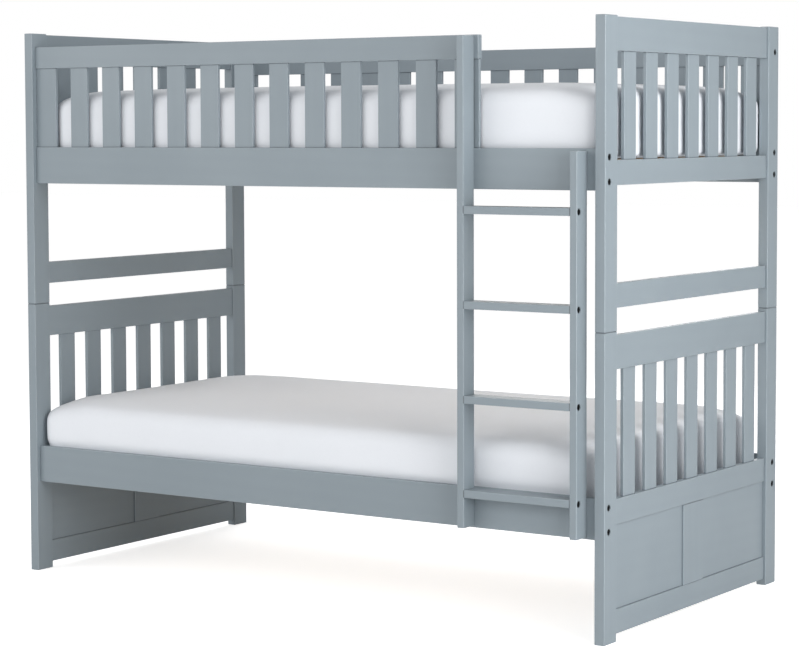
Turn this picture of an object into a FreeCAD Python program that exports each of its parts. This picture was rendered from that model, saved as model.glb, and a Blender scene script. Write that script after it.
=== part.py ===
import FreeCAD, Part
import os
import re
import Sketcher

# Bunk bed with a fixed ladder. Millimetres, +Z up, origin on the floor under the
# middle of the bounding box. +X runs along the bed, -Y is the side the ladder is on.

os.makedirs("parts", exist_ok=True)
doc = FreeCAD.newDocument("BunkBed")
V = FreeCAD.Vector

# ---------------------------------------------------------------- driving dimensions
sizes = {
    "bed_length": 2000,          # over the posts' outer faces
    "bed_width": 1060,           # over the posts, front to back
    "post_thick": 30,
    "post_depth": 67,
    "lower_height": 821,         # floor to the seam between the beds
    "upper_height": 823,
    "rail_thick": 19,            # side rails and guard top rails
    "rail_tall": 110,
    "rail_recess": 14,           # rail face behind the post face
    "lower_rail_z": 274.5,
    "upper_rail_z": 1189.5,
    "guard_rail_z": 1537.5,
    "guard_rail_tall": 64.5,
    "guard_back_drop": 5,        # back guard sits this much lower
    "guard_length": 1578,        # front guard, from the post to the ladder
    "guard_slats": 11,
    "back_guard_slats": 14,
    "slat_width": 65,
    "slat_thick": 10,
    "guard_stile_width": 78,
    "slat_tenon": 10,
    "end_recess": 6.5,           # end frame behind the posts' outer face
    "end_thick": 20,
    "end_slats": 7,
    "end_slat_width": 66,
    "rail_tenon": 15,            # end rails housed in the posts
    "lower_top_z": 720,
    "lower_top_tall": 91,
    "mid_rail_z": 309.5,
    "mid_rail_tall": 68,
    "bottom_rail_z": 18.5,
    "bottom_rail_tall": 65,
    "stile_width": 120,
    "panel_thick": 10,
    "panel_groove": 8,
    "upper_top_z": 1552.5,
    "upper_top_tall": 88.5,
    "upper_low_z": 1202.5,
    "upper_low_tall": 66,
    "crossbar_z": 881.5,
    "crossbar_tall": 65,
    "upper_deck_drop": 32,       # slat deck below the top of the side rail
    "lower_deck_drop": 56.5,
    "cleat_size": 20,
    "cleat_gap": 80,             # cleat stops short of each end of its rail
    "deck_slats": 13,
    "deck_slat_width": 70,
    "deck_slat_thick": 15,
    "deck_slat_play": 2,
    "mattress_length": 1905,
    "mattress_width": 990,
    "mattress_thick": 200,
    "mattress_corner": 45,
    "mattress_edge": 36,
    "mattress_lift": 0.5,        # soft parts stay clear of the deck
    "mattress_shift": 14,        # lower mattress pushed to the left end, upper to the right
    "ladder_reach": 41,          # ladder in front of the posts
    "ladder_start": 1573.5,      # from the left end to the first upright
    "ladder_width": 366,
    "upright_thick": 21,
    "ladder_clearance": 0.5,     # between the ladder and the lower bed
    "ladder_foot_z": 279.5,
    "left_upright_drop": 3,      # below the guard top
    "right_upright_drop": 7,     # below the upper rail top
    "rungs": 4,
    "rung_thick": 21,
    "rung_pitch": 254,
    "first_rung_z": 362.5,
    "rung_housing": 7,
    "rung_screw_inset": 12,
    "rung_screw_length": 62,
    "rung_screw_radius": 2.5,
    "dowel_radius": 4,
    "dowel_length": 36,
    "dowel_inset": 14,
    "dowel_skin": 5,             # wood left over the dowel's end
    "bolt_radius": 3,
    "bolt_clear_radius": 3.4,
    "bolt_length": 68,
    "bolt_spread": 64,
    "head_radius": 8.6,
    "head_tall": 7,
    "socket_radius": 2.9,
    "socket_depth": 3,
    "counterbore_radius": 9.2,
    "counterbore_depth": 9,
    "nut_radius": 5,
    "nut_length": 15,
    "nut_setback": 8,            # from the bolt's tip to the nut's axis
    "end_play": 1,               # past a bolt's tip, and outside a barrel nut
    "mount_bolt_length": 60,
    "mount_bolt_spread": 30,
    "mount_bolt_drop": 26,       # keeps the left one clear of the cleat
    "button_radius": 7,
    "button_tall": 1.5,          # flat enough to clear the mattress
    "pin_radius": 5,
    "pin_length": 80,
    "pin_clear_radius": 5.5,
    "post_ease": 2,
    "board_ease": 1.8,
    "slat_ease": 1.5,
    "panel_ease": 1,
    "seam_ease": 1.5,
    "over": 5,                   # how far a cutting tool runs past the wood
}
sheet = doc.addObject("Spreadsheet::Sheet", "Sizes")
for row, (alias, value) in enumerate(sizes.items(), 1):
    sheet.set(f"A{row}", alias)
    sheet.set(f"B{row}", str(value))
    sheet.setAlias(f"B{row}", alias)
doc.recompute()

# ---------------------------------------------------------------- places built from them
left = "(-bed_length / 2)"
right = "(bed_length / 2)"
front = "(-(bed_width - ladder_reach) / 2)"
back = f"({front} + bed_width)"
railLeft = f"({left} + post_thick)"
railLength = "(bed_length - 2 * post_thick)"
guardTop = "(guard_rail_z + guard_rail_tall)"
recess = {"lower": "(rail_recess + ladder_clearance)", "upper": "rail_recess"}
railZ = {"lower": "lower_rail_z", "upper": "upper_rail_z"}
deckTop = {
    "lower": "(lower_rail_z + rail_tall - lower_deck_drop)",
    "upper": "(upper_rail_z + rail_tall - upper_deck_drop)",
}
railMiddle = {level: f"({railZ[level]} + rail_tall / 2)" for level in railZ}
guardMiddle = "(guard_rail_z + guard_rail_tall / 2)"

nodes = {}


# ---------------------------------------------------------------- small tools
def bind(thing, prop, text):
    """Sets a property to an expression in which every word is an alias of the sheet."""
    thing.setExpression(prop, re.sub(r"[a-z][a-z_]*", lambda m: "Sizes." + m.group(0), str(text)))


def place(thing, at):
    for axis, text in zip("xyz", at):
        bind(thing, "Placement.Base." + axis, text)


def keep(node, thing):
    """The finished piece, under the name of its file."""
    thing.Label = node
    nodes[node] = thing
    return thing


def originPart(body, role):
    return [f for f in body.Origin.OriginFeatures if f.Role == role][0]


def rectangle(sketch, wide, tall):
    corners = [V(0, 0), V(40, 0), V(40, 20), V(0, 20)]
    for start, end in zip(corners, corners[1:] + corners[:1]):
        sketch.addGeometry(Part.LineSegment(start, end))
    for side in range(4):
        sketch.addConstraint(Sketcher.Constraint("Coincident", side, 2, (side + 1) % 4, 1))
    for side, kind in enumerate(["Horizontal", "Vertical", "Horizontal", "Vertical"]):
        sketch.addConstraint(Sketcher.Constraint(kind, side))
    sketch.addConstraint(Sketcher.Constraint("Coincident", 0, 1, -1, 1))
    across = sketch.addConstraint(Sketcher.Constraint("DistanceX", 0, 1, 0, 2, 40))
    up = sketch.addConstraint(Sketcher.Constraint("DistanceY", 1, 1, 1, 2, 20))
    bind(sketch, f"Constraints[{across}]", wide)
    bind(sketch, f"Constraints[{up}]", tall)


sectionPlanes = {"x": ("YZ_Plane", 1, 2), "y": ("XZ_Plane", 0, 2), "z": ("XY_Plane", 0, 1)}


def board(name, at, size, grain, ease="board_ease",
          count=None, pitch=None, spread="X_Axis", roundEnds=False):
    """A sawn board with eased long edges, its lowest corner at `at`; `grain` is the axis
    it is long in. With a count it becomes a row of equal boards, `pitch` apart."""
    body = doc.addObject("PartDesign::Body", name)
    role, wide, tall = sectionPlanes[grain]
    sketch = body.newObject("Sketcher::SketchObject", name + "_section")
    sketch.AttachmentSupport = (originPart(body, role), "")
    sketch.MapMode = "FlatFace"
    rectangle(sketch, size[wide], size[tall])
    pad = body.newObject("PartDesign::Pad", name + "_pad")
    pad.Profile = sketch
    pad.Reversed = grain == "y"
    bind(pad, "Length", size["xyz".index(grain)])
    doc.recompute()
    long = ["Edge%d" % i for i, e in enumerate(pad.Shape.Edges, 1)
            if roundEnds or abs(getattr(e.tangentAt(e.FirstParameter), grain)) > 0.9]
    rounding = body.newObject("PartDesign::Fillet", name + "_ease")
    rounding.Base = (pad, long)
    bind(rounding, "Radius", ease)
    body.Tip = rounding
    if count:
        doc.recompute()
        row = body.newObject("PartDesign::LinearPattern", name + "_row")
        row.Originals = [pad, rounding]
        row.Direction = (originPart(body, spread), [""])
        row.Mode = "Spacing"
        bind(row, "Offset", pitch)
        bind(row, "Occurrences", count)
        body.Tip = row
    place(body, at)
    return body


def easeEnds(body, kind, prop, amount):
    """Breaks the edges round the top and bottom faces of an upright piece."""
    doc.recompute()
    before = body.Tip
    rims = ["Edge%d" % i for i, e in enumerate(before.Shape.Edges, 1)
            if abs(e.tangentAt(e.FirstParameter).z) < 0.1]
    feature = body.newObject(kind, body.Name + "_rims")
    feature.Base = (before, rims)
    bind(feature, prop, amount)
    body.Tip = feature


turns = {
    "x": FreeCAD.Rotation(V(0, 1, 0), 90),
    "y": FreeCAD.Rotation(V(1, 0, 0), -90),
    "z": FreeCAD.Rotation(),
}


def rod(name, at, radius, length, axis):
    """A cylinder from `at` towards +axis."""
    cylinder = doc.addObject("Part::Cylinder", name)
    cylinder.Placement = FreeCAD.Placement(V(), turns[axis])
    bind(cylinder, "Radius", radius)
    bind(cylinder, "Height", length)
    place(cylinder, at)
    return cylinder


def joined(name, things):
    fuse = doc.addObject("Part::MultiFuse", name)
    fuse.Shapes = things
    return fuse


def group(name, things):
    """Equal pieces that share a node, as separate solids."""
    compound = doc.addObject("Part::Compound", name)
    compound.Links = things
    return compound


def cutBy(name, thing, tools):
    cut = doc.addObject("Part::Cut", name + "_cut")
    cut.Base = thing
    cut.Tool = tools[0] if len(tools) == 1 else group(name + "_tools", tools)
    return cut


def evenGap(span, count, width):
    return f"(({span} - {count} * {width}) / ({count} + 1))"


# ---------------------------------------------------------------- side rail bolts
def railLine(level, face):
    """Y of the middle of a side rail's thickness."""
    if face == "front":
        return f"({front} + {recess[level]} + rail_thick / 2)"
    return f"({back} - {recess[level]} - rail_thick / 2)"


def boltHeights(level, side, face):
    heights = [f"({railMiddle[level]} + bolt_spread / 2)", f"({railMiddle[level]} - bolt_spread / 2)"]
    hasGuardBolt = level == "upper" and not (face == "front" and side == "right")
    return heights + [guardMiddle] * hasGuardBolt


def sideBolt(name, side, y, z):
    """Socket-head bolt, its head on the floor of the counterbore in the post."""
    if side == "left":
        seat = f"({left} + counterbore_depth)"
        headAt, shankAt, socketAt = f"{seat} - head_tall", seat, f"{seat} - head_tall - end_play"
    else:
        seat = f"({right} - counterbore_depth)"
        headAt, shankAt, socketAt = seat, f"{seat} - bolt_length", f"{seat} + head_tall - socket_depth"
    head = rod(name + "_head", (headAt, y, z), "head_radius", "head_tall", "x")
    shank = rod(name + "_shank", (shankAt, y, z), "bolt_radius", "bolt_length", "x")
    socket = doc.addObject("Part::Prism", name + "_socket")
    socket.Polygon = 6
    socket.Placement = FreeCAD.Placement(V(), turns["x"])
    bind(socket, "Circumradius", "socket_radius")
    bind(socket, "Height", "socket_depth + end_play")
    place(socket, (socketAt, y, z))
    return cutBy(name, joined(name + "_body", [head, shank]), [socket])


def nutX(side):
    reach = "(counterbore_depth + bolt_length - nut_setback)"
    return f"({left} + {reach})" if side == "left" else f"({right} - {reach})"


def nutStart(level, face):
    """Y where a barrel nut begins; it sits in from the rail's inner face."""
    if face == "front":
        return f"({front} + {recess[level]} + rail_thick - nut_length - end_play)"
    return f"({back} - {recess[level]} - rail_thick + end_play)"


def barrelNut(name, level, side, face, z):
    y = railLine(level, face)
    barrel = rod(name, (nutX(side), nutStart(level, face), z), "nut_radius", "nut_length", "y")
    thread = rod(name + "_thread", (f"{nutX(side)} - nut_radius - over", y, z),
                 "bolt_radius", "2 * nut_radius + 2 * over", "x")
    return cutBy(name, barrel, [thread])


corners = [(side, face) for side in ("left", "right") for face in ("front", "back")]


def boltsAndNuts(level):
    bolts = []
    nuts = []
    for side, face in corners:
        for i, z in enumerate(boltHeights(level, side, face)):
            name = f"{level}_{side}_{face}_{i}"
            bolts.append(sideBolt(name + "_bolt", side, railLine(level, face), z))
            nuts.append(barrelNut(name + "_nut", level, side, face, z))
    keep(level + "_rail_bolts", group(level + "_bolt_set", bolts))
    keep(level + "_barrel_nuts", group(level + "_nut_set", nuts))


def railEndBores(name, level, face, heights, ends):
    """Clearance for the bolts, and the cross holes that the barrel nuts fill."""
    tools = []
    for side in ends:
        start = f"{left} + post_thick - over"
        if side == "right":
            start = f"{right} - counterbore_depth - bolt_length - end_play"
        run = "counterbore_depth + bolt_length + end_play - post_thick + over"
        for i, z in enumerate(heights):
            tag = f"{name}_{side}_{i}"
            tools.append(rod(tag + "_bore", (start, railLine(level, face), z),
                             "bolt_clear_radius", run, "x"))
            crossAt = nutStart(level, face) + ("" if face == "front" else " - over")
            tools.append(rod(tag + "_cross", (nutX(side), crossAt, z),
                             "nut_radius", "nut_length + over", "y"))
    return tools


# ---------------------------------------------------------------- end frames
frameX = {"left": f"({left} + end_recess)", "right": f"({right} - end_recess - end_thick)"}
insideY = f"({front} + post_depth)"
insideWidth = "(bed_width - 2 * post_depth)"


def endBoard(name, side, z, tall):
    at = (frameX[side], f"{insideY} - rail_tenon", z)
    return board(name + "_blank", at, ("end_thick", f"{insideWidth} + 2 * rail_tenon", tall), "y")


def endSlats(name, side, low, high):
    gap = evenGap(insideWidth, "end_slats", "end_slat_width")
    at = (f"{frameX[side]} + (end_thick - slat_thick) / 2", f"{insideY} + {gap}", f"{low} - slat_tenon")
    size = ("slat_thick", "end_slat_width", f"{high} - {low} + 2 * slat_tenon")
    return board(name, at, size, "z", "slat_ease", "end_slats", f"end_slat_width + {gap}", "Y_Axis")


def lowerEnd(side):
    """Slatted upper half, two panels either side of a centre stile below."""
    name = f"lower_{side}_"
    midTop = "(mid_rail_z + mid_rail_tall)"
    bottomTop = "(bottom_rail_z + bottom_rail_tall)"
    slats = endSlats(name + "slats", side, midTop, "lower_top_z")
    topBlank = endBoard(name + "top", side, "lower_top_z", "lower_top_tall")
    midBlank = endBoard(name + "mid", side, "mid_rail_z", "mid_rail_tall")
    bottomBlank = endBoard(name + "bottom", side, "bottom_rail_z", "bottom_rail_tall")

    panelX = f"{frameX[side]} + (end_thick - panel_thick) / 2"
    panelWide = f"(({insideWidth} - stile_width) / 2 + 2 * panel_groove)"
    panels = board(name + "panels", (panelX, f"{insideY} - panel_groove", f"{bottomTop} - panel_groove"),
                   ("panel_thick", panelWide, f"mid_rail_z - {bottomTop} + 2 * panel_groove"), "z",
                   "panel_ease", "2", f"({insideWidth} + stile_width) / 2", "Y_Axis")

    stileY = f"{insideY} + ({insideWidth} - stile_width) / 2"
    stileBlank = board(name + "stile_blank", (frameX[side], stileY, bottomTop),
                       ("end_thick", "stile_width", f"mid_rail_z - {bottomTop}"), "z")
    tenonTall = f"mid_rail_z - {bottomTop} + 2 * slat_tenon"
    stileTenon = board(name + "stile_tenon", (panelX, stileY + " + slat_tenon", f"{bottomTop} - slat_tenon"),
                       ("panel_thick", "stile_width - 2 * slat_tenon", tenonTall), "z", "panel_ease")
    stileWhole = joined(name + "stile_whole", [stileBlank, stileTenon])

    keep(name + "slats", slats)
    keep(name + "panels", panels)
    keep(name + "centre_stile", cutBy(name + "stile", stileWhole, [panels]))
    keep(name + "top_rail", cutBy(name + "top", topBlank, [slats]))
    keep(name + "mid_rail", cutBy(name + "mid", midBlank, [slats, panels, stileTenon]))
    keep(name + "bottom_rail", cutBy(name + "bottom", bottomBlank, [panels, stileTenon]))
    return [topBlank, midBlank, bottomBlank, panels]


def upperEnd(side):
    """Slatted end above the mattress, and a crossbar between the legs."""
    name = f"upper_{side}_"
    slats = endSlats(name + "slats", side, "(upper_low_z + upper_low_tall)", "upper_top_z")
    topBlank = endBoard(name + "top", side, "upper_top_z", "upper_top_tall")
    lowBlank = endBoard(name + "low", side, "upper_low_z", "upper_low_tall")
    crossbar = endBoard(name + "cross", side, "crossbar_z", "crossbar_tall")
    keep(name + "slats", slats)
    keep(name + "top_rail", cutBy(name + "top", topBlank, [slats]))
    keep(name + "low_rail", cutBy(name + "low", lowBlank, [slats]))
    keep(name + "crossbar", crossbar)
    return [topBlank, lowBlank, crossbar]


# ---------------------------------------------------------------- posts and stacking pins
def postCorner(side, face):
    x = left if side == "left" else f"({right} - post_thick)"
    y = front if face == "front" else f"({back} - post_depth)"
    return x, y


def post(level, side, face, endBoards):
    name = f"{level}_post_{face}_{side}"
    x, y = postCorner(side, face)
    low = "0" if level == "lower" else "lower_height"
    blank = board(name + "_blank", (x, y, low), ("post_thick", "post_depth", level + "_height"),
                  "z", "post_ease")
    easeEnds(blank, "PartDesign::Chamfer", "Size", "seam_ease")

    tools = list(endBoards)
    for i, z in enumerate(boltHeights(level, side, face)):
        boltY = railLine(level, face)
        outer = f"{left} - over" if side == "left" else f"{right} - counterbore_depth"
        tools.append(rod(f"{name}_seat_{i}", (outer, boltY, z),
                         "counterbore_radius", "counterbore_depth + over", "x"))
        tools.append(rod(f"{name}_bore_{i}", (f"{x} - over", boltY, z),
                         "bolt_clear_radius", "post_thick + 2 * over", "x"))
    middle = (f"{x} + post_thick / 2", f"{y} + post_depth / 2")
    pinRadius = "pin_radius" if level == "lower" else "pin_clear_radius"
    tools.append(rod(name + "_pin_bore", (*middle, "lower_height - pin_length / 2 - end_play"),
                     pinRadius, "pin_length + 2 * end_play", "z"))
    keep(name, cutBy(name, blank, tools))


def stackingPins():
    pins = []
    for side, face in corners:
        x, y = postCorner(side, face)
        at = (f"{x} + post_thick / 2", f"{y} + post_depth / 2", "lower_height - pin_length / 2")
        pins.append(rod(f"pin_{side}_{face}", at, "pin_radius", "pin_length", "z"))
    keep("stacking_pins", group("pin_set", pins))


# ---------------------------------------------------------------- side rails and slat decks
def sideRailY(level, face):
    if face == "front":
        return f"({front} + {recess[level]})"
    return f"({back} - {recess[level]} - rail_thick)"


def sideRail(level, face, extraTools):
    name = f"{level}_rail_{face}"
    blank = board(name + "_blank", (railLeft, sideRailY(level, face), railZ[level]),
                  (railLength, "rail_thick", "rail_tall"), "x", roundEnds=True)
    heights = boltHeights("lower", "left", face)
    if level == "upper":
        heights = boltHeights("upper", "right", "front")
    tools = railEndBores(name, level, face, heights, ["left", "right"])
    keep(name, cutBy(name, blank, tools + extraTools))


def deck(level):
    """Cleats along both side rails, and the row of slats that lies on them."""
    cleatTop = f"({deckTop[level]} - deck_slat_thick)"
    insideFront = f"({front} + {recess[level]} + rail_thick)"
    insideBack = f"({back} - {recess[level]} - rail_thick)"
    cleats = []
    for face, y in (("front", insideFront), ("back", f"{insideBack} - cleat_size")):
        at = (f"{railLeft} + cleat_gap", y, f"{cleatTop} - cleat_size")
        size = (f"{railLength} - 2 * cleat_gap", "cleat_size", "cleat_size")
        cleats.append(board(f"{level}_cleat_{face}", at, size, "x", "slat_ease"))
    keep(level + "_cleats", group(level + "_cleat_set", cleats))
    span = f"({railLength} - 2 * cleat_gap - deck_slat_width)"
    at = (f"{railLeft} + cleat_gap", f"{insideFront} + deck_slat_play", cleatTop)
    across = f"{insideBack} - {insideFront} - 2 * deck_slat_play"
    slats = board(level + "_deck_row", at, ("deck_slat_width", across, "deck_slat_thick"),
                  "y", "slat_ease", "deck_slats", f"{span} / (deck_slats - 1)")
    keep(level + "_deck_slats", slats)


# ---------------------------------------------------------------- guard rails
def guard(face):
    """Top rail, two end stiles and a row of slats, tenoned into the side rail below."""
    name = f"guard_{face}_"
    length = "guard_length" if face == "front" else railLength
    count = "guard_slats" if face == "front" else "back_guard_slats"
    railTop = "(upper_rail_z + rail_tall)"
    slatY = f"{sideRailY('upper', face)} + (rail_thick - slat_thick) / 2"
    slatLow = f"{railTop} - slat_tenon"
    underside = "guard_rail_z" if face == "front" else "(guard_rail_z - guard_back_drop)"
    slatTall = f"{underside} - {railTop} + 2 * slat_tenon"
    gap = evenGap(f"({length} - 2 * guard_stile_width)", count, "slat_width")
    slats = board(name + "slats", (f"{railLeft} + guard_stile_width + {gap}", slatY, slatLow),
                  ("slat_width", "slat_thick", slatTall), "z", "slat_ease", count, f"slat_width + {gap}")
    stiles = board(name + "stiles", (railLeft, slatY, slatLow),
                   ("guard_stile_width", "slat_thick", slatTall),
                   "z", "slat_ease", "2", f"{length} - guard_stile_width")
    blank = board(name + "top_blank", (railLeft, sideRailY("upper", face), underside),
                  (length, "rail_thick", "guard_rail_tall"), "x", roundEnds=True)
    ends = ["left"] if face == "front" else ["left", "right"]
    bores = railEndBores(name + "top", "upper", face, [guardMiddle], ends)
    if face == "front":
        bores += mountBores("guard", [(leftUprightX, guardMiddle)])
    keep(name + "slats", slats)
    keep(name + "stiles", stiles)
    keep(name + "top_rail", cutBy(name + "top", blank, [slats, stiles] + bores))
    return [slats, stiles]


# ---------------------------------------------------------------- ladder
leftUprightX = f"({left} + ladder_start)"
rightUprightX = f"({leftUprightX} + ladder_width - upright_thick)"
ladderFront = f"({front} - ladder_reach)"
ladderDepth = "(ladder_reach + rail_recess)"
rungZ = [f"(first_rung_z + {i} * rung_pitch)" for i in range(sizes["rungs"])]
railMounts = [
    (leftUprightX, f"({railMiddle['upper']} - mount_bolt_drop)"),
    (rightUprightX, f"({railMiddle['upper']} + mount_bolt_spread / 2)"),
    (rightUprightX, f"({railMiddle['upper']} - mount_bolt_spread / 2)"),
]


def mountBores(name, mounts):
    """Holes for the ladder's bolts, right through the rail."""
    start = sideRailY("upper", "front") + " - over"
    return [rod(f"{name}_mount_bore_{i}", (f"{x} + upright_thick / 2", start, z),
                "bolt_radius", "rail_thick + 2 * over", "y") for i, (x, z) in enumerate(mounts)]


def mountBolts():
    """Button-head bolts put in from the inside of the rail, into the uprights."""
    inner = f"({sideRailY('upper', 'front')} + rail_thick)"
    bolts = []
    for i, (x, z) in enumerate(railMounts + [(leftUprightX, guardMiddle)]):
        middle = f"{x} + upright_thick / 2"
        head = rod(f"mount_head_{i}", (middle, inner, z), "button_radius", "button_tall", "y")
        shank = rod(f"mount_shank_{i}", (middle, f"{inner} - mount_bolt_length", z),
                    "bolt_radius", "mount_bolt_length", "y")
        bolts.append(joined(f"mount_bolt_{i}", [head, shank]))
    keep("ladder_mount_bolts", group("mount_bolt_set", bolts))
    return bolts


def rungScrew(name, side, z):
    y = f"{ladderFront} + rung_screw_inset"
    if side == "left":
        seat = f"({leftUprightX} + counterbore_depth)"
        headAt, shankAt = f"{seat} - head_tall", seat
    else:
        seat = f"({rightUprightX} + upright_thick - counterbore_depth)"
        headAt, shankAt = seat, f"{seat} - rung_screw_length"
    head = rod(name + "_head", (headAt, y, z), "head_radius", "head_tall", "x")
    shank = rod(name + "_shank", (shankAt, y, z), "rung_screw_radius", "rung_screw_length", "x")
    return joined(name, [head, shank])


def ladder():
    inside = f"({leftUprightX} + upright_thick)"
    insideSpan = "(ladder_width - 2 * upright_thick)"
    rungBlanks = []
    for i, z in enumerate(rungZ):
        at = (f"{inside} - rung_housing", ladderFront, z)
        rungBlanks.append(board(f"rung_{i + 1}_blank", at,
                                (f"{insideSpan} + 2 * rung_housing", ladderDepth, "rung_thick"), "x"))

    screws = []
    dowels = []
    for i, z in enumerate(rungZ):
        middle = f"({z} + rung_thick / 2)"
        for side in ("left", "right"):
            screws.append(rungScrew(f"rung_{i + 1}_{side}_screw", side, middle))
            dowelX = f"{leftUprightX} + dowel_skin"
            if side == "right":
                dowelX = f"{rightUprightX} + upright_thick - dowel_skin - dowel_length"
            dowelY = f"{ladderFront} + {ladderDepth} - dowel_inset"
            dowels.append(rod(f"rung_{i + 1}_{side}_dowel", (dowelX, dowelY, middle),
                              "dowel_radius", "dowel_length", "x"))
    screwSet = keep("rung_screws", group("screw_set", screws))
    dowelSet = keep("rung_dowels", group("dowel_set", dowels))
    mountSet = mountBolts()

    for i, blank in enumerate(rungBlanks):
        keep(f"ladder_rung_{i + 1}", cutBy(f"rung_{i + 1}", blank, [screwSet, dowelSet]))

    tops = {"left": f"({guardTop} - left_upright_drop)",
            "right": "(upper_rail_z + rail_tall - right_upright_drop)"}
    for side, x in (("left", leftUprightX), ("right", rightUprightX)):
        blank = board(f"upright_{side}_blank", (x, ladderFront, "ladder_foot_z"),
                      ("upright_thick", ladderDepth, f"{tops[side]} - ladder_foot_z"), "z", roundEnds=True)
        outer = f"{x} - over" if side == "left" else f"{x} + upright_thick - counterbore_depth"
        screwY = f"{ladderFront} + rung_screw_inset"
        seats = [rod(f"upright_{side}_seat_{i}", (outer, screwY, f"{z} + rung_thick / 2"),
                     "counterbore_radius", "counterbore_depth + over", "x") for i, z in enumerate(rungZ)]
        tools = rungBlanks + seats + mountSet + [screwSet, dowelSet]
        keep(f"ladder_{side}_upright", cutBy(f"upright_{side}", blank, tools))


# ---------------------------------------------------------------- mattresses
def mattress(level):
    shift = "- mattress_shift" if level == "lower" else "+ mattress_shift"
    middleY = f"({front} + bed_width / 2)"
    at = (f"-mattress_length / 2 {shift}", f"{middleY} - mattress_width / 2",
          f"{deckTop[level]} + mattress_lift")
    body = board(level + "_mattress_body", at, ("mattress_length", "mattress_width", "mattress_thick"),
                 "z", "mattress_corner")
    easeEnds(body, "PartDesign::Fillet", "Radius", "mattress_edge")
    keep(level + "_mattress", body)


# ---------------------------------------------------------------- the whole bed
for side in ("left", "right"):
    lowerBoards = lowerEnd(side)
    upperBoards = upperEnd(side)
    for face in ("front", "back"):
        post("lower", side, face, lowerBoards)
        post("upper", side, face, upperBoards)
stackingPins()
boltsAndNuts("lower")
boltsAndNuts("upper")
sideRail("lower", "front", [])
sideRail("lower", "back", [])
sideRail("upper", "front", guard("front") + mountBores("rail", railMounts))
sideRail("upper", "back", guard("back"))
deck("lower")
deck("upper")
ladder()
mattress("lower")
mattress("upper")

# ---------------------------------------------------------------- checks and export
doc.recompute()
broken = [o.Label for o in doc.Objects if {"Invalid", "Error"} & set(o.State)]
if broken:
    raise RuntimeError("failed objects: " + ", ".join(broken))
for node, thing in nodes.items():
    if thing.Shape.isNull() or not thing.Shape.isValid() or not thing.Shape.Solids:
        raise RuntimeError("bad shape: " + node)
    if thing.Label != node:
        raise RuntimeError("label taken: " + node)
for node, thing in nodes.items():
    thing.Shape.exportStep(f"parts/{node}.step")
    print(f"{node:28s} solids {len(thing.Shape.Solids):2d}  volume {thing.Shape.Volume / 1000:10.1f} cm3")
whole = Part.makeCompound([thing.Shape for thing in nodes.values()]).BoundBox
print(f"{len(nodes)} nodes, box {whole.XLength:.1f} x {whole.YLength:.1f} x {whole.ZLength:.1f}")
print(f"x {whole.XMin:.2f}..{whole.XMax:.2f}")
print(f"y {whole.YMin:.2f}..{whole.YMax:.2f}")
print(f"z {whole.ZMin:.2f}..{whole.ZMax:.2f}")
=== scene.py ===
import math

import bpy
from mathutils import Matrix, Vector, noise


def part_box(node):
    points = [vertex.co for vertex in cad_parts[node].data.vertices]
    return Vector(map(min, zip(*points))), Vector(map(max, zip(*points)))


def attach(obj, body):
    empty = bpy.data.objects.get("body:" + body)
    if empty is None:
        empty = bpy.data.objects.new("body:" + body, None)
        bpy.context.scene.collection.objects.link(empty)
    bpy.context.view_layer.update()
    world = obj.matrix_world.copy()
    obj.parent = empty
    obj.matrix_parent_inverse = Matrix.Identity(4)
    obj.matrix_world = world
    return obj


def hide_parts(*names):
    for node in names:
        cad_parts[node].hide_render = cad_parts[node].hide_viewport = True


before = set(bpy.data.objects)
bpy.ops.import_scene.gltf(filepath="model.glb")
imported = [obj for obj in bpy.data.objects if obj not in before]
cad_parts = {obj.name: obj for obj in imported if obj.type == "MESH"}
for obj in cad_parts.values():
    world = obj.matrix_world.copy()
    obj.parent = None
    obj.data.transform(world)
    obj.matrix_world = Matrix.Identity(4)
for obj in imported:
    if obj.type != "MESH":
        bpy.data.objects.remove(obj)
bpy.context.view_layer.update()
print("frame loaded:", len(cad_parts), "nodes")

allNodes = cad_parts


def clearSelection():
    for thing in list(bpy.context.selected_objects):
        thing.select_set(False)


def onlySelect(thing):
    clearSelection()
    thing.select_set(True)
    bpy.context.view_layer.objects.active = thing


# camera, floor and studio light

studio = {
    "cameraAt": (3.946, -5.9354, 1.3573),
    "turn": 34.1983,         # degrees to the left of +Y
    "tilt": -3.672,
    "roll": -0.2377,
    "lens": 107.283,
    "shift": (0.0396, -0.07),  # no larger, so that the whole bed stays in every view
    "floorSize": 60.0,
    "floorTone": (0.93, 0.93, 0.93, 1),
    "floorGlow": 0.64,           # keeps the floor as pale as the backdrop
    "worldTone": (1.0, 1.0, 1.0, 1),
    "worldLight": 0.40,
    "backdropLight": 1.0,        # what the camera sees behind the bed
}

softBoxes = [  # name, place, aim, width, height, watts
    ("endBox", (2.7, -0.9, 1.7), (1.0, 0.0, 0.9), 1.6, 1.6, 10.0),
    ("endHighBox", (2.7, -0.6, 3.0), (0.9, 0.0, 0.9), 1.6, 1.6, 11.0),
    ("keyBox", (6.5, -1.5, 3.0), (0.3, 0.0, 0.9), 3.0, 3.0, 84.0),
    ("endLowBox", (4.0, -2.0, 1.0), (0.6, 0.0, 0.8), 2.0, 1.5, 45.0),
    ("endTopBox", (2.2, -0.2, 2.2), (1.0, 0.0, 1.6), 1.2, 1.2, 3.3),
    ("frontLeftBox", (-4.0, -4.5, 2.8), (0.0, 0.0, 0.8), 3.6, 3.2, 90.0),
    ("frontBox", (-0.2, -4.5, 1.9), (0.0, 0.0, 0.8), 3.6, 2.6, 38.0),
    ("backBox", (-1.5, 4.5, 3.0), (0.0, 0.0, 0.9), 3.0, 3.0, 103.0),
]


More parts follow.
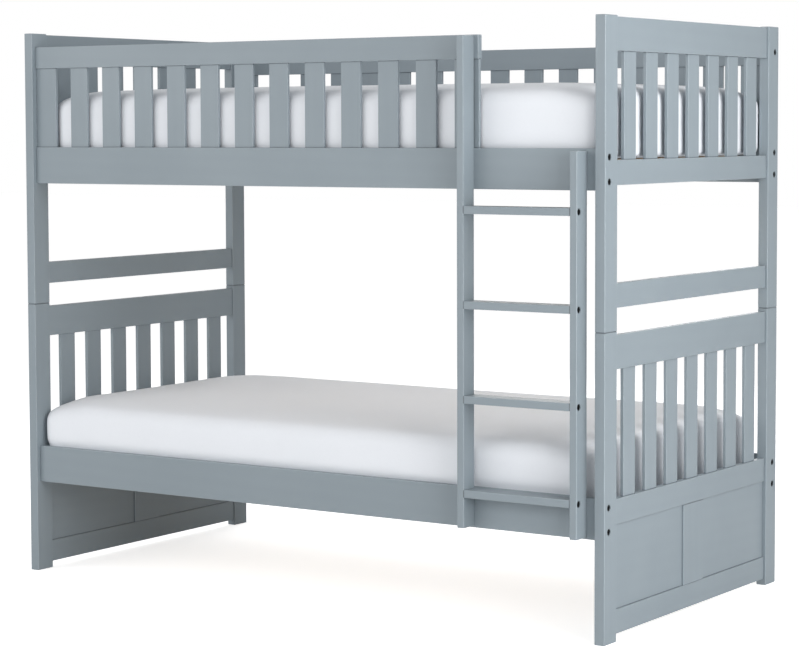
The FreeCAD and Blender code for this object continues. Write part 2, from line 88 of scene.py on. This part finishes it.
def makeCamera(s):
    data = bpy.data.cameras.new("studioCamera")
    data.lens = s["lens"]
    data.sensor_width = 36
    data.shift_x, data.shift_y = s["shift"]
    camera = bpy.data.objects.new("studioCamera", data)
    bpy.context.scene.collection.objects.link(camera)
    turn = Matrix.Rotation(math.radians(s["turn"]), 4, "Z")
    tilt = Matrix.Rotation(math.radians(90 + s["tilt"]), 4, "X")
    roll = Matrix.Rotation(math.radians(s["roll"]), 4, "Z")
    camera.matrix_world = Matrix.Translation(s["cameraAt"]) @ turn @ tilt @ roll
    bpy.context.scene.camera = camera


def makeSoftBox(name, place, aim, width, height, watts):
    data = bpy.data.lights.new(name, "AREA")
    data.shape = "RECTANGLE"
    data.size = width
    data.size_y = height
    data.energy = watts
    lamp = bpy.data.objects.new(name, data)
    bpy.context.scene.collection.objects.link(lamp)
    lamp.location = place
    lamp.visible_camera = False
    lamp.rotation_euler = (Vector(aim) - Vector(place)).to_track_quat("-Z", "Y").to_euler()


def makeFloor(s):
    clearSelection()
    bpy.ops.mesh.primitive_plane_add(size=s["floorSize"], location=(0, 0, 0))
    floor = bpy.context.object
    floor.name = "studioFloor"
    material = bpy.data.materials.new("studioFloor")
    material.use_nodes = True
    shader = material.node_tree.nodes["Principled BSDF"]
    shader.inputs["Base Color"].default_value = s["floorTone"]
    shader.inputs["Roughness"].default_value = 0.9
    shader.inputs["Emission Color"].default_value = s["worldTone"]
    seen = material.node_tree.nodes.new("ShaderNodeLightPath").outputs["Is Camera Ray"]
    glow = material.node_tree.nodes.new("ShaderNodeMath")
    glow.operation = "MULTIPLY"
    glow.inputs[1].default_value = s["floorGlow"]
    material.node_tree.links.new(seen, glow.inputs[0])
    material.node_tree.links.new(glow.outputs[0], shader.inputs["Emission Strength"])
    floor.data.materials.append(material)


def makeWorld(s):
    world = bpy.data.worlds.new("studioWorld")
    world.use_nodes = True
    background = world.node_tree.nodes["Background"]
    background.inputs["Color"].default_value = s["worldTone"]
    seen = world.node_tree.nodes.new("ShaderNodeLightPath").outputs["Is Camera Ray"]
    level = world.node_tree.nodes.new("ShaderNodeMapRange")
    level.inputs["To Min"].default_value = s["worldLight"]
    level.inputs["To Max"].default_value = s["backdropLight"]
    world.node_tree.links.new(seen, level.inputs["Value"])
    world.node_tree.links.new(level.outputs["Result"], background.inputs["Strength"])
    bpy.context.scene.world = world
    bpy.context.scene.view_settings.view_transform = "Standard"


makeCamera(studio)
makeWorld(studio)
makeFloor(studio)
for softBox in softBoxes:
    makeSoftBox(*softBox)
print("studio ready")


# shader groups that several finishes share

def newGroup(name, inputs, outputs):
    group = bpy.data.node_groups.new(name, "ShaderNodeTree")
    for label, kind, value in inputs:
        socket = group.interface.new_socket(
            name=label, in_out="INPUT", socket_type="NodeSocket" + kind)
        if value is not None:
            socket.default_value = value
    for label, kind in outputs:
        group.interface.new_socket(
            name=label, in_out="OUTPUT", socket_type="NodeSocket" + kind)
    return group, group.nodes.new("NodeGroupInput"), group.nodes.new("NodeGroupOutput")


def put(tree, kind, settings=None, **values):
    node = tree.nodes.new("ShaderNode" + kind)
    for key, value in (settings or {}).items():
        setattr(node, key, value)
    for label, value in values.items():
        socket = node.inputs[label.replace("_", " ")]
        if isinstance(value, bpy.types.NodeSocket):
            tree.links.new(value, socket)
        else:
            socket.default_value = value
    return node


def calc(tree, operation, first, second=None, third=None):
    node = tree.nodes.new("ShaderNodeMath")
    node.operation = operation
    for i, value in enumerate((first, second, third)):
        if isinstance(value, bpy.types.NodeSocket):
            tree.links.new(value, node.inputs[i])
        elif value is not None:
            node.inputs[i].default_value = value
    return node.outputs[0]


def mixColors(tree, amount, first, second, blend="MIX"):
    node = tree.nodes.new("ShaderNodeMix")
    node.data_type = "RGBA"
    node.blend_type = blend
    for label, value in (("Factor_Float", amount), ("A_Color", first), ("B_Color", second)):
        socket = [s for s in node.inputs if s.identifier == label][0]
        if isinstance(value, bpy.types.NodeSocket):
            tree.links.new(value, socket)
        else:
            socket.default_value = value
    return [s for s in node.outputs if s.identifier == "Result_Color"][0]


def remap(tree, value, low, high, outLow=0.0, outHigh=1.0):
    node = put(tree, "MapRange", {"clamp": True}, Value=value)
    ends = (("From Min", low), ("From Max", high), ("To Min", outLow), ("To Max", outHigh))
    for label, number in ends:
        node.inputs[label].default_value = number
    return node.outputs["Result"]


def edgeGroup():
    # the eased edges of square-cut boards are the only places whose normal is slanted
    group, given, result = newGroup(
        "easedEdge", [("Breakup", "Float", 0.4)], [("Mask", "Float")])
    normal = put(group, "NewGeometry").outputs["Normal"]
    size = put(group, "VectorMath", {"operation": "ABSOLUTE"})
    group.links.new(normal, size.inputs[0])
    parts = put(group, "SeparateXYZ", Vector=size.outputs[0])
    sideways = calc(group, "MAXIMUM", parts.outputs[1], parts.outputs[2])
    widest = calc(group, "MAXIMUM", parts.outputs[0], sideways)
    slanted = remap(group, widest, 0.985, 0.86)
    place = put(group, "TexCoord").outputs["Object"]
    patches = put(group, "TexNoise", Vector=place, Scale=22.0, Detail=4.0).outputs[0]
    broken = remap(group, patches, 0.35, 0.65)
    kept = calc(group, "SUBTRACT", 1.0, calc(group, "MULTIPLY", given.outputs["Breakup"], broken))
    group.links.new(calc(group, "MULTIPLY", slanted, kept), result.inputs["Mask"])
    return group


def grainGroup():
    # long fibres and broad growth bands; the coordinates arrive already stretched along the board
    group, given, result = newGroup(
        "boardGrain",
        [("Vector", "Vector", None), ("Fibre Scale", "Float", 260.0),
         ("Band Scale", "Float", 14.0), ("Warp", "Float", 1.2)],
        [("Fibres", "Float"), ("Bands", "Float")],
    )
    place = given.outputs["Vector"]
    fibres = put(group, "TexNoise", Vector=place, Scale=given.outputs["Fibre Scale"],
                 Detail=5.0, Roughness=0.6)
    wander = put(group, "TexNoise", Vector=place, Scale=3.0, Detail=2.0)
    bands = put(group, "TexWave", {"wave_type": "BANDS", "bands_direction": "DIAGONAL"},
                Vector=place, Scale=given.outputs["Band Scale"],
                Distortion=given.outputs["Warp"], Detail=3.0)
    bands.inputs["Detail Scale"].default_value = 1.4
    bands.inputs["Detail Roughness"].default_value = 0.6
    halfBands = calc(group, "MULTIPLY", bands.outputs[1], 0.5)
    both = calc(group, "MULTIPLY_ADD", wander.outputs[0], 0.5, halfBands)
    group.links.new(fibres.outputs[0], result.inputs["Fibres"])
    group.links.new(both, result.inputs["Bands"])
    return group


def handlingGroup():
    # faint cloudiness of a sprayed or handled surface
    group, given, result = newGroup(
        "handling",
        [("Vector", "Vector", None), ("Scale", "Float", 2.5)],
        [("Clouds", "Float"), ("Specks", "Float")])
    clouds = put(group, "TexNoise", Vector=given.outputs["Vector"],
                 Scale=given.outputs["Scale"], Detail=3.0)
    specks = put(group, "TexNoise", Vector=given.outputs["Vector"], Scale=900.0, Detail=2.0)
    group.links.new(remap(group, clouds.outputs[0], 0.3, 0.7), result.inputs["Clouds"])
    group.links.new(remap(group, specks.outputs[0], 0.35, 0.65), result.inputs["Specks"])
    return group


def weaveGroup():
    # over-and-under threads of a plain cotton sheet
    group, given, result = newGroup(
        "plainWeave",
        [("Vector", "Vector", None), ("Threads", "Float", 900.0)],
        [("Height", "Float"), ("Slub", "Float")])
    scaled = put(group, "VectorMath", {"operation": "SCALE"}, Scale=given.outputs["Threads"])
    group.links.new(given.outputs["Vector"], scaled.inputs[0])
    parts = put(group, "SeparateXYZ", Vector=scaled.outputs[0])
    along = calc(group, "ADD", parts.outputs[0], parts.outputs[2])
    across = calc(group, "ADD", parts.outputs[1], parts.outputs[2])
    warp = calc(group, "ABSOLUTE", calc(group, "SINE", along))
    weft = calc(group, "ABSOLUTE", calc(group, "SINE", across))
    checks = calc(group, "SINE", calc(group, "MULTIPLY", along, 0.5))
    turns = calc(group, "MULTIPLY", checks, calc(group, "SINE", calc(group, "MULTIPLY", across, 0.5)))
    over = remap(group, turns, -0.2, 0.2)
    height = calc(group, "ADD", calc(group, "MULTIPLY", warp, over),
                  calc(group, "MULTIPLY", weft, calc(group, "SUBTRACT", 1.0, over)))
    slub = put(group, "TexNoise", Vector=given.outputs["Vector"], Scale=120.0, Detail=4.0)
    group.links.new(height, result.inputs["Height"])
    group.links.new(slub.outputs[0], result.inputs["Slub"])
    return group


def jointShadowGroup():
    # the thin dark line of painted shadow where one painted board enters another
    group, given, result = newGroup(
        "jointShadowLine",
        [("Coordinate", "Float", 0.0), ("At", "Float", 0.0), ("Width", "Float", 0.002)],
        [("Mask", "Float")])
    gap = calc(group, "SUBTRACT", given.outputs["Coordinate"], given.outputs["At"])
    off = calc(group, "ABSOLUTE", gap)
    share = calc(group, "DIVIDE", off, given.outputs["Width"])
    place = put(group, "TexCoord").outputs["Object"]
    uneven = put(group, "TexNoise", Vector=place, Scale=35.0, Detail=2.0)
    line = remap(group, share, 0.35, 1.0, 1.0, 0.0)
    patchy = remap(group, uneven.outputs[0], 0.3, 0.7, 0.7, 1.0)
    group.links.new(calc(group, "MULTIPLY", line, patchy), result.inputs["Mask"])
    return group


jointShadowLine = jointShadowGroup()
easedEdge = edgeGroup()
boardGrain = grainGroup()
handling = handlingGroup()
plainWeave = weaveGroup()


def useGroup(tree, group, **values):
    node = tree.nodes.new("ShaderNodeGroup")
    node.node_tree = group
    for label, value in values.items():
        socket = node.inputs[label.replace("_", " ")]
        if isinstance(value, bpy.types.NodeSocket):
            tree.links.new(value, socket)
        else:
            socket.default_value = value
    return node


# finishes

def newMaterial(name):
    material = bpy.data.materials.new(name)
    material.use_nodes = True
    tree = material.node_tree
    return material, tree, tree.nodes["Principled BSDF"]


def stretched(tree, grainAxis, along):
    # object coordinates squeezed along the board, so that a pattern runs with the grain
    place = put(tree, "TexCoord").outputs["Object"]
    scale = [1.0, 1.0, 1.0]
    scale["xyz".index(grainAxis)] = along
    return place, put(tree, "Mapping", Vector=place, Scale=scale).outputs["Vector"]


paint = {
    "color": (0.262, 0.308, 0.340, 1),
    "deep": (0.234, 0.278, 0.309, 1),     # where the coat is a little thicker
    "edge": (0.40, 0.455, 0.490, 1),      # thinner paint on the eased edges, and a painted highlight there
    "edgeWearAndHighlightAmount": 0.55,
    "jointShadow": (0.05, 0.06, 0.07, 1),       # shadow in the joints
    "jointShadowAmount": 0.75,
    "jointShadowWidth": 0.0022,
    "roughness": (0.40, 0.52),
    "fibreBump": 0.10,
    "orangePeel": 0.05,
}


def makePaint(name, grainAxis, jointShadows=()):
    p = paint
    material, tree, shader = newMaterial(name)
    place, along = stretched(tree, grainAxis, 0.03)
    grain = useGroup(tree, boardGrain, Vector=along, Fibre_Scale=240.0, Band_Scale=16.0)
    cloud = useGroup(tree, handling, Vector=place, Scale=3.0)
    edge = useGroup(tree, easedEdge, Breakup=0.35)
    thick = calc(tree, "MULTIPLY", cloud.outputs["Clouds"], 0.55)
    base = mixColors(tree, thick, p["color"], p["deep"])
    faint = remap(tree, grain.outputs["Bands"], 0.2, 0.8, 0.0, 0.22)
    base = mixColors(tree, faint, base, p["deep"])
    # eased edges made lighter: partly thinner paint, partly a painted highlight
    edgeWearAndHighlightShare = calc(tree, "MULTIPLY", edge.outputs["Mask"], p["edgeWearAndHighlightAmount"])
    base = mixColors(tree, edgeWearAndHighlightShare, base, p["edge"])
    # dark lines of painted shadow along the joints
    if jointShadows:
        parts = put(tree, "SeparateXYZ", Vector=place)
        lines = 0.0
        for axis, at in jointShadows:
            line = useGroup(tree, jointShadowLine, Coordinate=parts.outputs["xyz".index(axis)],
                            At=at, Width=p["jointShadowWidth"])
            lines = calc(tree, "MAXIMUM", line.outputs["Mask"], lines)
        base = mixColors(tree, calc(tree, "MULTIPLY", lines, p["jointShadowAmount"]), base, p["jointShadow"])
    tree.links.new(base, shader.inputs["Base Color"])
    rough = remap(tree, cloud.outputs["Clouds"], 0.0, 1.0, *p["roughness"])
    rough = calc(tree, "SUBTRACT", rough, calc(tree, "MULTIPLY", edge.outputs["Mask"], 0.08))
    tree.links.new(rough, shader.inputs["Roughness"])
    first = put(tree, "Bump", Strength=p["fibreBump"], Distance=0.0006, Height=grain.outputs["Fibres"])
    second = put(tree, "Bump", Strength=p["orangePeel"], Distance=0.0004,
                 Height=cloud.outputs["Specks"], Normal=first.outputs["Normal"])
    tree.links.new(second.outputs["Normal"], shader.inputs["Normal"])
    shader.inputs["Specular IOR Level"].default_value = 0.45
    return material


pine = {
    "light": (0.71, 0.53, 0.33, 1),
    "dark": (0.52, 0.34, 0.18, 1),
    "fibre": (0.62, 0.44, 0.25, 1),
    "knot": (0.28, 0.15, 0.07, 1),
    "roughness": (0.55, 0.72),
}


def makePine(grainAxis):
    p = pine
    material, tree, shader = newMaterial("barePine_" + grainAxis)
    place, along = stretched(tree, grainAxis, 0.05)
    grain = useGroup(tree, boardGrain, Vector=along, Fibre_Scale=210.0, Band_Scale=34.0, Warp=5.0)
    cloud = useGroup(tree, handling, Vector=place, Scale=5.0)
    knots = put(tree, "TexVoronoi", {"feature": "F1"}, Vector=along, Scale=5.0)
    knot = remap(tree, knots.outputs["Distance"], 0.10, 0.04)
    base = mixColors(tree, remap(tree, grain.outputs["Bands"], 0.45, 0.7), p["light"], p["dark"])
    base = mixColors(tree, remap(tree, grain.outputs["Fibres"], 0.4, 0.7, 0.0, 0.5), base, p["fibre"])
    base = mixColors(tree, calc(tree, "MULTIPLY", knot, 0.8), base, p["knot"])
    base = mixColors(tree, calc(tree, "MULTIPLY", cloud.outputs["Clouds"], 0.15), base, p["light"])
    tree.links.new(base, shader.inputs["Base Color"])
    rough = remap(tree, grain.outputs["Bands"], 0.2, 0.8, *p["roughness"])
    tree.links.new(rough, shader.inputs["Roughness"])
    bump = put(tree, "Bump", Strength=0.25, Distance=0.0006, Height=grain.outputs["Fibres"])
    tree.links.new(bump.outputs["Normal"], shader.inputs["Normal"])
    return material


def makeMetal(name, color, worn, roughness):
    material, tree, shader = newMaterial(name)
    place = put(tree, "TexCoord").outputs["Object"]
    cloud = useGroup(tree, handling, Vector=place, Scale=60.0)
    turned = put(tree, "Mapping", Vector=place, Scale=(1.0, 14.0, 14.0)).outputs["Vector"]
    scratch = put(tree, "TexNoise", Vector=turned, Scale=160.0, Detail=3.0)
    wear = remap(tree, scratch.outputs[0], 0.55, 0.75)
    base = mixColors(tree, calc(tree, "MULTIPLY", wear, 0.6), color, worn)
    tree.links.new(base, shader.inputs["Base Color"])
    rough = remap(tree, cloud.outputs["Clouds"], 0.0, 1.0, roughness, roughness + 0.15)
    tree.links.new(rough, shader.inputs["Roughness"])
    bump = put(tree, "Bump", Strength=0.15, Distance=0.0002, Height=scratch.outputs[0])
    tree.links.new(bump.outputs["Normal"], shader.inputs["Normal"])
    shader.inputs["Metallic"].default_value = 0.9
    return material


sheetCloth = {
    "color": (0.80, 0.825, 0.865, 1),
    "shade": (0.755, 0.78, 0.825, 1),
    "threads": 2600.0,
}


def makeSheetCloth():
    c = sheetCloth
    material, tree, shader = newMaterial("whiteSheet")
    place = put(tree, "TexCoord").outputs["Object"]
    weave = useGroup(tree, plainWeave, Vector=place, Threads=c["threads"])
    cloud = useGroup(tree, handling, Vector=place, Scale=4.0)
    cloudy = calc(tree, "MULTIPLY", cloud.outputs["Clouds"], 0.3)
    base = mixColors(tree, cloudy, c["color"], c["shade"])
    base = mixColors(tree, remap(tree, weave.outputs["Slub"], 0.55, 0.75, 0.0, 0.3), base, c["shade"])
    tree.links.new(base, shader.inputs["Base Color"])
    rough = remap(tree, weave.outputs["Slub"], 0.3, 0.7, 0.82, 0.92)
    tree.links.new(rough, shader.inputs["Roughness"])
    softness = put(tree, "TexNoise", Vector=place, Scale=9.0, Detail=3.0)
    first = put(tree, "Bump", Strength=0.12, Distance=0.004, Height=softness.outputs[0])
    second = put(tree, "Bump", Strength=0.2, Distance=0.0003, Height=weave.outputs["Height"],
                 Normal=first.outputs["Normal"])
    tree.links.new(second.outputs["Normal"], shader.inputs["Normal"])
    shader.inputs["Sheen Weight"].default_value = 0.15
    shader.inputs["Sheen Roughness"].default_value = 0.5
    return material


def edgeOf(node, side, axis):
    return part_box(node)[side]["xyz".index(axis)]


low, high = 0, 1


def lineAt(node, side, axis):
    return (axis, edgeOf(node, side, axis))


postLines = [lineAt("lower_post_front_left", high, "y"), lineAt("lower_post_back_left", low, "y")]
panelFrame = [lineAt("lower_left_mid_rail", low, "z"), lineAt("lower_left_bottom_rail", high, "z")]
stileLines = [lineAt("lower_left_centre_stile", side, "y") for side in (low, high)]
rungLines = [lineAt("ladder_left_upright", high, "x"), lineAt("ladder_right_upright", low, "x")]
railTopLine = lineAt("upper_rail_front", high, "z")

grainAndJointShadows = {  # which way the grain runs, and where the painted joint shadows go
    "posts": ("z", [lineAt("upper_post_front_left", low, "z")]),
    "longRails": ("x", []),
    "uprights": ("z", []),
    "rungs": ("x", rungLines),
    "endRails": ("y", postLines),
    "frontGuard": ("z", [railTopLine, lineAt("guard_front_top_rail", low, "z")]),
    "backGuard": ("z", [railTopLine, lineAt("guard_back_top_rail", low, "z")]),
    "upperSlats": ("z", [lineAt("upper_left_top_rail", low, "z"),
                         lineAt("upper_left_low_rail", high, "z")]),
    "lowerSlats": ("z", [lineAt("lower_left_top_rail", low, "z"),
                         lineAt("lower_left_mid_rail", high, "z")]),
    "panels": ("y", panelFrame + stileLines + postLines),
    "centreStile": ("z", panelFrame),
}
paints = {kind: makePaint("greyPaint_" + kind, *lines) for kind, lines in grainAndJointShadows.items()}
pines = {axis: makePine(axis) for axis in "xy"}
blackBolt = makeMetal("blackBolt", (0.012, 0.012, 0.013, 1), (0.05, 0.05, 0.052, 1), 0.42)
zincSteel = makeMetal("zincSteel", (0.52, 0.53, 0.55, 1), (0.72, 0.72, 0.72, 1), 0.28)
whiteSheet = makeSheetCloth()


def finishFor(node):
    if node in ("lower_rail_bolts", "upper_rail_bolts", "rung_screws", "ladder_mount_bolts"):
        return blackBolt
    if node in ("stacking_pins", "lower_barrel_nuts", "upper_barrel_nuts"):
        return zincSteel
    if node.endswith("deck_slats"):
        return pines["y"]
    if node.endswith("cleats") or node == "rung_dowels":
        return pines["x"]
    if "_post_" in node:
        return paints["posts"]
    if node.startswith("ladder_rung"):
        return paints["rungs"]
    if node.endswith("_upright"):
        return paints["uprights"]
    if node in ("guard_front_slats", "guard_front_stiles"):
        return paints["frontGuard"]
    if node in ("guard_back_slats", "guard_back_stiles"):
        return paints["backGuard"]
    if node.endswith("_slats"):
        return paints["upperSlats" if node.startswith("upper") else "lowerSlats"]
    if node.endswith("_panels"):
        return paints["panels"]
    if node.endswith("_stile"):
        return paints["centreStile"]
    if node.startswith("guard") or "_rail_" in node:
        return paints["longRails"]
    return paints["endRails"]


for nodeName, thing in allNodes.items():
    if nodeName.endswith("_mattress"):
        continue
    thing.data.materials.clear()
    thing.data.materials.append(finishFor(nodeName))
print("finishes on the frame")


# mattresses, each in a fitted sheet

mattress = {
    "inset": 0.005,          # start shape inside the block, room to swell
    "topRadius": 0.040,
    "bottomRadius": 0.010,
    "voxel": 0.014,
    "pressure": 4.0,
    "frames": 20,
    "stretch": 18,
    "bend": 2.0,
    "cap": 0.007,            # furthest that a point may move
    "crown": 0.009,          # middle of the top above the CAD block
    "cornerDrop": 0.020,     # pillow corners
    "rimDrop": 0.004,
    "ripple": 0.0014,
    "gather": 0.0016,        # folds in the sheet by the corners
    "seatDepth": 0.030,      # near the deck the weight makes the end sides stand straight
    "seatShare": 0.85,
    "fill": 0.9,
}

lowerShape = {
    "cornerRadius": (0.030, 0.050, 0.050, 0.035),  # front left, front right, back left, back right
    "overhang": 0.014,       # swells over the side rail that it is tucked behind
    "railNode": "lower_rail_front",
    "seed": 1.7,
}

upperShape = {
    "cornerRadius": (0.060, 0.045, 0.045, 0.030),
    "overhang": 0.003,
    "railNode": "upper_rail_front",
    "seed": 6.2,
}


def pickEdges(block, picks):
    bpy.ops.object.mode_set(mode="OBJECT")
    for part in list(block.data.vertices) + list(block.data.edges) + list(block.data.polygons):
        part.select = False
    for edge in block.data.edges:
        ends = [block.data.vertices[i].co for i in edge.vertices]
        edge.select = picks(ends)
    bpy.ops.object.mode_set(mode="EDIT")
    bpy.ops.mesh.select_mode(type="EDGE")


def roundedBlock(name, low, high, shape, m):
    # a box with generous upright corners, a soft top edge and a tighter bottom one
    clearSelection()
    middle = (Vector(low) + Vector(high)) / 2
    bpy.ops.mesh.primitive_cube_add(size=1, location=middle)
    block = bpy.context.object
    block.name = name
    block.scale = [h - l - 2 * m["inset"] for l, h in zip(low, high)]
    bpy.ops.object.transform_apply(location=True, rotation=False, scale=True)
    bpy.ops.object.mode_set(mode="EDIT")
    corners = [(x, y) for y in (low[1], high[1]) for x in (low[0], high[0])]
    for (x, y), radius in zip(corners, shape["cornerRadius"]):
        pickEdges(block, lambda ends: all(abs(p.x - x) + abs(p.y - y) < 0.03 for p in ends)
                  and abs(ends[0].z - ends[1].z) > 0.05)
        bpy.ops.mesh.bevel(offset=radius, offset_type="OFFSET", segments=8, affect="EDGES")
    pickEdges(block, lambda ends: min(p.z for p in ends) > high[2] - 2 * m["inset"])
    bpy.ops.mesh.bevel(offset=m["topRadius"], offset_type="OFFSET", segments=8,
                       affect="EDGES", clamp_overlap=True)
    pickEdges(block, lambda ends: max(p.z for p in ends) < low[2] + 2 * m["inset"])
    bpy.ops.mesh.bevel(offset=m["bottomRadius"], offset_type="OFFSET", segments=5, affect="EDGES")
    bpy.ops.object.mode_set(mode="OBJECT")
    return block


def inflate(block, m):
    # the sheet is pulled over a block that pushes out a little
    start = [v.co.copy() for v in block.data.vertices]
    scene = bpy.context.scene
    cloth = block.modifiers.new("cloth", "CLOTH")
    cloth.settings.use_pressure = True
    cloth.settings.uniform_pressure_force = m["pressure"]
    cloth.settings.effector_weights.gravity = 0
    cloth.settings.quality = 4
    cloth.settings.mass = 0.4
    cloth.settings.tension_stiffness = m["stretch"]
    cloth.settings.compression_stiffness = m["stretch"]
    cloth.settings.bending_stiffness = m["bend"]
    cloth.point_cache.frame_start = 1
    cloth.point_cache.frame_end = m["frames"]
    for step in range(1, m["frames"] + 1):
        scene.frame_set(step)
    shaped = block.evaluated_get(bpy.context.evaluated_depsgraph_get()).to_mesh()
    moved = [v.co.copy() for v in shaped.vertices]
    block.modifiers.remove(cloth)
    scene.frame_set(1)
    furthest = 0
    for vertex, old, new in zip(block.data.vertices, start, moved):
        step = new - old
        furthest = max(furthest, step.length)
        vertex.co = old + step * min(1.0, m["cap"] / max(step.length, 1e-9))
    print("sheet swelled by up to", round(furthest * 1000, 1), "mm before the cap")


def ramp(value, start, end):
    t = max(0.0, min(1.0, (value - start) / (end - start)))
    return t * t * (3 - 2 * t)


def fitToBlock(block, low, high):
    # stretches the swollen shape so that its furthest points touch the block's faces
    points = [v.co for v in block.data.vertices]
    for axis in range(3):
        least = min(p[axis] for p in points)
        most = max(p[axis] for p in points)
        for p in points:
            p[axis] = low[axis] + (p[axis] - least) * (high[axis] - low[axis]) / (most - least)


def settle(block, low, high, shape, m):
    # crown, pillow corners, slow ripples, and the gathers that a fitted sheet has near its corners
    fitToBlock(block, low, high)
    center = (Vector(low) + Vector(high)) / 2
    half = (Vector(high) - Vector(low)) / 2
    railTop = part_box(shape["railNode"])[1][2]
    for vertex in block.data.vertices:
        p = vertex.co
        fromX = half.x - abs(p.x - center.x)
        fromY = half.y - abs(p.y - center.y)
        w = (p.z - low[2]) / (high[2] - low[2])
        topness = ramp(w, 0.45, 1.0)
        dome = ramp(fromX, 0.0, 0.30) * ramp(fromY, 0.0, 0.30)
        cornerness = (1 - ramp(fromX, 0.0, 0.16)) * (1 - ramp(fromY, 0.0, 0.16))
        rim = 1 - ramp(min(fromX, fromY), 0.0, 0.09)
        slow = noise.noise(Vector((p.x * 2.3, p.y * 3.1, shape["seed"])))
        lift = m["crown"] * dome - m["cornerDrop"] * cornerness - m["rimDrop"] * rim
        p.z += topness * (lift + m["ripple"] * slow)
        above = ramp(p.z, railTop + 0.002, railTop + 0.012) * (1 - ramp(w, 0.72, 1.0))
        if p.y < center.y:
            p.y -= shape["overhang"] * above * (1 - ramp(fromY, 0.0, 0.12))
        out = Vector((p.x - center.x, p.y - center.y, 0)).normalized()
        around = math.atan2((p.y - center.y) * half.x / half.y, p.x - center.x)
        nearCorner = math.exp(-math.hypot(fromX, fromY) / 0.10)
        fold = math.sin(around * 230 + 5 * noise.noise(Vector((p.x * 9, p.y * 9, shape["seed"]))))
        p -= out * m["gather"] * nearCorner * (1 - ramp(w, 0.3, 0.9)) * (0.5 + 0.5 * fold)
        if 0 < fromX < m["seatDepth"] and fromY > 0.06:
            p.x += math.copysign(m["seatShare"] * fromX * (1 - ramp(w, 0.10, 0.45)), p.x - center.x)


def makeMattress(node, body, shape, m):
    low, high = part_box(node)
    block = roundedBlock(node + "_sheet", low, high, shape, m)
    block.data.remesh_voxel_size = m["voxel"]
    onlySelect(block)
    bpy.ops.object.voxel_remesh()
    inflate(block, m)
    settle(block, low, high, shape, m)
    soften = block.modifiers.new("soften", "SMOOTH")
    soften.factor = 0.5
    soften.iterations = 4
    finer = block.modifiers.new("finer", "SUBSURF")
    finer.levels = 1
    finer.render_levels = 1
    onlySelect(block)
    bpy.ops.object.modifier_apply(modifier="soften")
    bpy.ops.object.modifier_apply(modifier="finer")
    bpy.ops.object.shade_smooth()
    block.data.materials.clear()
    block.data.materials.append(whiteSheet)
    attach(block, body)
    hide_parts(node)
    print("mattress", node, len(block.data.polygons), "faces")


makeMattress("lower_mattress", "lower_mattress_block", lowerShape, mattress)
makeMattress("upper_mattress", "upper_mattress_block", upperShape, mattress)
